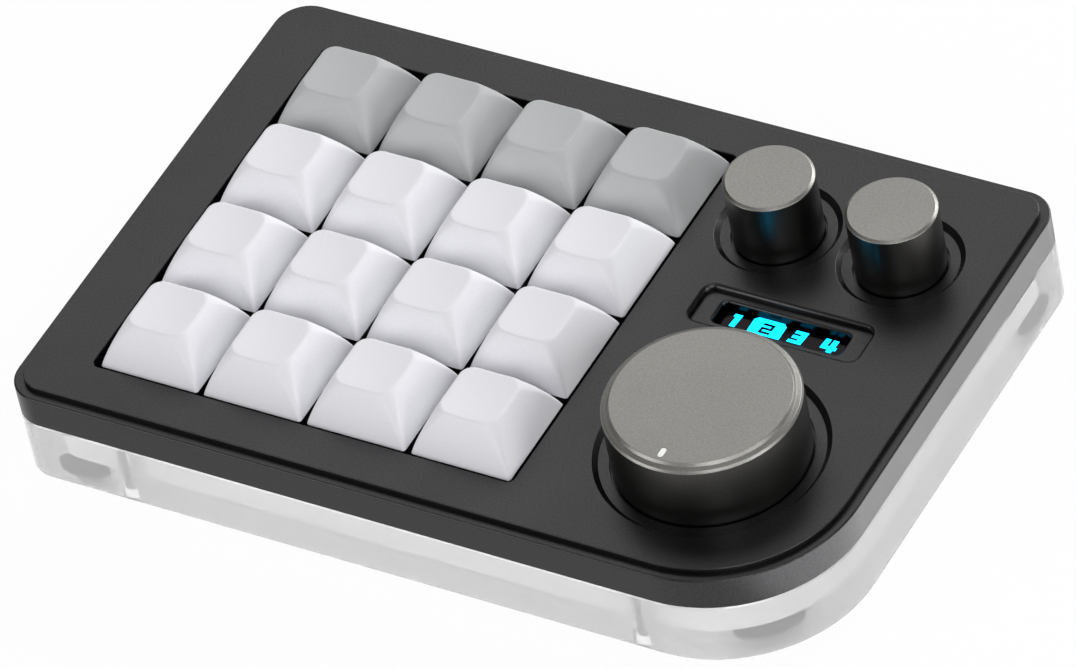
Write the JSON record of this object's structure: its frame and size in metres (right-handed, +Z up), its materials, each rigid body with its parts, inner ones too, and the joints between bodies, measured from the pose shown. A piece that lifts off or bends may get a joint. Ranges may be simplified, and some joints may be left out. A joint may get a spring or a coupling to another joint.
{
  "type": "macro keypad",
  "caption": "Desk macro keypad with a square field of keys, a large dial, two small dials and a small display in a metal shell on a clear base.",
  "frame": {"origin": "middle of the case outline on the surface that the feet stand on", "axes": "+X to the user's right along the case's length, +Y away from the user, +Z up"},
  "size_m": [0.1426, 0.0958, 0.0327],
  "materials": {
    "anodised_aluminium": "fine bead-blasted black anodised aluminium",
    "clear_acrylic": "clear acrylic with polished outer faces",
    "foot_rubber": "matt",
    "screw_steel": "zinc-plated",
    "plate_steel": "matt black coating",
    "circuit_board": "black solder mask",
    "component_black": "moulded",
    "port_steel": "plain stamped steel",
    "display_glass": "glossy black display glass with cyan lit digits",
    "knob_aluminium": "turned and black anodised",
    "pointer_white": "moulded",
    "switch_housing": "moulded",
    "spring_steel": "drawn wire",
    "encoder_metal": "stamped",
    "shaft_aluminium": "turned",
    "keycap_grey": "fine matt moulded",
    "keycap_white": "fine matt moulded",
    "switch_stem": "moulded"
  },
  "bodies": {
    "root": {"top_shell": "anodised_aluminium", "base_shell": "clear_acrylic", "feet": "foot_rubber", "case_screws": "screw_steel", "plate_screws": "screw_steel", "switch_plate": "plate_steel", "circuit_board": "circuit_board", "board_components": "component_black", "usb_c_port": "port_steel", "display_panel": "display_glass", "display_board": "circuit_board", "switch_lower_housings": "switch_housing", "switch_upper_housings": "switch_housing", "switch_springs": "spring_steel", "hotswap_sockets": "component_black", "main_encoder_body": "encoder_metal", "left_encoder_body": "encoder_metal", "right_encoder_body": "encoder_metal"},
    "key_r1c1": {"keycap_r1c1": "keycap_grey", "switch_stem_r1c1": "switch_stem"},
    "key_r1c2": {"keycap_r1c2": "keycap_grey", "switch_stem_r1c2": "switch_stem"},
    "key_r1c3": {"keycap_r1c3": "keycap_grey", "switch_stem_r1c3": "switch_stem"},
    "key_r1c4": {"keycap_r1c4": "keycap_grey", "switch_stem_r1c4": "switch_stem"},
    "key_r2c1": {"keycap_r2c1": "keycap_white", "switch_stem_r2c1": "switch_stem"},
    "key_r2c2": {"keycap_r2c2": "keycap_white", "switch_stem_r2c2": "switch_stem"},
    "key_r2c3": {"keycap_r2c3": "keycap_white", "switch_stem_r2c3": "switch_stem"},
    "key_r2c4": {"keycap_r2c4": "keycap_white", "switch_stem_r2c4": "switch_stem"},
    "key_r3c1": {"keycap_r3c1": "keycap_white", "switch_stem_r3c1": "switch_stem"},
    "key_r3c2": {"keycap_r3c2": "keycap_white", "switch_stem_r3c2": "switch_stem"},
    "key_r3c3": {"keycap_r3c3": "keycap_white", "switch_stem_r3c3": "switch_stem"},
    "key_r3c4": {"keycap_r3c4": "keycap_white", "switch_stem_r3c4": "switch_stem"},
    "key_r4c1": {"keycap_r4c1": "keycap_white", "switch_stem_r4c1": "switch_stem"},
    "key_r4c2": {"keycap_r4c2": "keycap_white", "switch_stem_r4c2": "switch_stem"},
    "key_r4c3": {"keycap_r4c3": "keycap_white", "switch_stem_r4c3": "switch_stem"},
    "key_r4c4": {"keycap_r4c4": "keycap_white", "switch_stem_r4c4": "switch_stem"},
    "main_plunger": {"main_encoder_plunger": "component_black"},
    "main_dial": {"main_knob": "knob_aluminium", "main_encoder_shaft": "shaft_aluminium", "main_knob_pointer": "pointer_white"},
    "left_plunger": {"left_encoder_plunger": "component_black"},
    "left_dial": {"left_knob": "knob_aluminium", "left_encoder_shaft": "shaft_aluminium"},
    "right_plunger": {"right_encoder_plunger": "component_black"},
    "right_dial": {"right_knob": "knob_aluminium", "right_encoder_shaft": "shaft_aluminium"}
  },
  "joints": [
    {"name": "press_r1c1", "type": "slide", "parent": "root", "child": "key_r1c1", "axis": [0, 0, -1], "range_m": [0, 0.004], "stiffness_N_per_m": 75, "springref_m": -0.004, "deforming": ["switch_springs"]},
    {"name": "press_r1c2", "type": "slide", "parent": "root", "child": "key_r1c2", "axis": [0, 0, -1], "range_m": [0, 0.004], "stiffness_N_per_m": 75, "springref_m": -0.004, "deforming": ["switch_springs"]},
    {"name": "press_r1c3", "type": "slide", "parent": "root", "child": "key_r1c3", "axis": [0, 0, -1], "range_m": [0, 0.004], "stiffness_N_per_m": 75, "springref_m": -0.004, "deforming": ["switch_springs"]},
    {"name": "press_r1c4", "type": "slide", "parent": "root", "child": "key_r1c4", "axis": [0, 0, -1], "range_m": [0, 0.004], "stiffness_N_per_m": 75, "springref_m": -0.004, "deforming": ["switch_springs"]},
    {"name": "press_r2c1", "type": "slide", "parent": "root", "child": "key_r2c1", "axis": [0, 0, -1], "range_m": [0, 0.004], "stiffness_N_per_m": 75, "springref_m": -0.004, "deforming": ["switch_springs"]},
    {"name": "press_r2c2", "type": "slide", "parent": "root", "child": "key_r2c2", "axis": [0, 0, -1], "range_m": [0, 0.004], "stiffness_N_per_m": 75, "springref_m": -0.004, "deforming": ["switch_springs"]},
    {"name": "press_r2c3", "type": "slide", "parent": "root", "child": "key_r2c3", "axis": [0, 0, -1], "range_m": [0, 0.004], "stiffness_N_per_m": 75, "springref_m": -0.004, "deforming": ["switch_springs"]},
    {"name": "press_r2c4", "type": "slide", "parent": "root", "child": "key_r2c4", "axis": [0, 0, -1], "range_m": [0, 0.004], "stiffness_N_per_m": 75, "springref_m": -0.004, "deforming": ["switch_springs"]},
    {"name": "press_r3c1", "type": "slide", "parent": "root", "child": "key_r3c1", "axis": [0, 0, -1], "range_m": [0, 0.004], "stiffness_N_per_m": 75, "springref_m": -0.004, "deforming": ["switch_springs"]},
    {"name": "press_r3c2", "type": "slide", "parent": "root", "child": "key_r3c2", "axis": [0, 0, -1], "range_m": [0, 0.004], "stiffness_N_per_m": 75, "springref_m": -0.004, "deforming": ["switch_springs"]},
    {"name": "press_r3c3", "type": "slide", "parent": "root", "child": "key_r3c3", "axis": [0, 0, -1], "range_m": [0, 0.004], "stiffness_N_per_m": 75, "springref_m": -0.004, "deforming": ["switch_springs"]},
    {"name": "press_r3c4", "type": "slide", "parent": "root", "child": "key_r3c4", "axis": [0, 0, -1], "range_m": [0, 0.004], "stiffness_N_per_m": 75, "springref_m": -0.004, "deforming": ["switch_springs"]},
    {"name": "press_r4c1", "type": "slide", "parent": "root", "child": "key_r4c1", "axis": [0, 0, -1], "range_m": [0, 0.004], "stiffness_N_per_m": 75, "springref_m": -0.004, "deforming": ["switch_springs"]},
    {"name": "press_r4c2", "type": "slide", "parent": "root", "child": "key_r4c2", "axis": [0, 0, -1], "range_m": [0, 0.004], "stiffness_N_per_m": 75, "springref_m": -0.004, "deforming": ["switch_springs"]},
    {"name": "press_r4c3", "type": "slide", "parent": "root", "child": "key_r4c3", "axis": [0, 0, -1], "range_m": [0, 0.004], "stiffness_N_per_m": 75, "springref_m": -0.004, "deforming": ["switch_springs"]},
    {"name": "press_r4c4", "type": "slide", "parent": "root", "child": "key_r4c4", "axis": [0, 0, -1], "range_m": [0, 0.004], "stiffness_N_per_m": 75, "springref_m": -0.004, "deforming": ["switch_springs"]},
    {"name": "main_knob_push", "type": "slide", "parent": "root", "child": "main_plunger", "axis": [0, 0, -1], "range_m": [0, 0.0005], "stiffness_N_per_m": 3000, "springref_m": -0.0005},
    {"name": "main_knob_turn", "type": "hinge", "parent": "main_plunger", "child": "main_dial", "pos_m": [0.0441, -0.021, 0.0326], "axis": [0, 0, 1], "continuous": true},
    {"name": "left_knob_push", "type": "slide", "parent": "root", "child": "left_plunger", "axis": [0, 0, -1], "range_m": [0, 0.0005], "stiffness_N_per_m": 3000, "springref_m": -0.0005},
    {"name": "left_knob_turn", "type": "hinge", "parent": "left_plunger", "child": "left_dial", "pos_m": [0.03135, 0.0262, 0.0326], "axis": [0, 0, 1], "continuous": true},
    {"name": "right_knob_push", "type": "slide", "parent": "root", "child": "right_plunger", "axis": [0, 0, -1], "range_m": [0, 0.0005], "stiffness_N_per_m": 3000, "springref_m": -0.0005},
    {"name": "right_knob_turn", "type": "hinge", "parent": "right_plunger", "child": "right_dial", "pos_m": [0.05335, 0.0262, 0.0326], "axis": [0, 0, 1], "continuous": true}
  ]
}
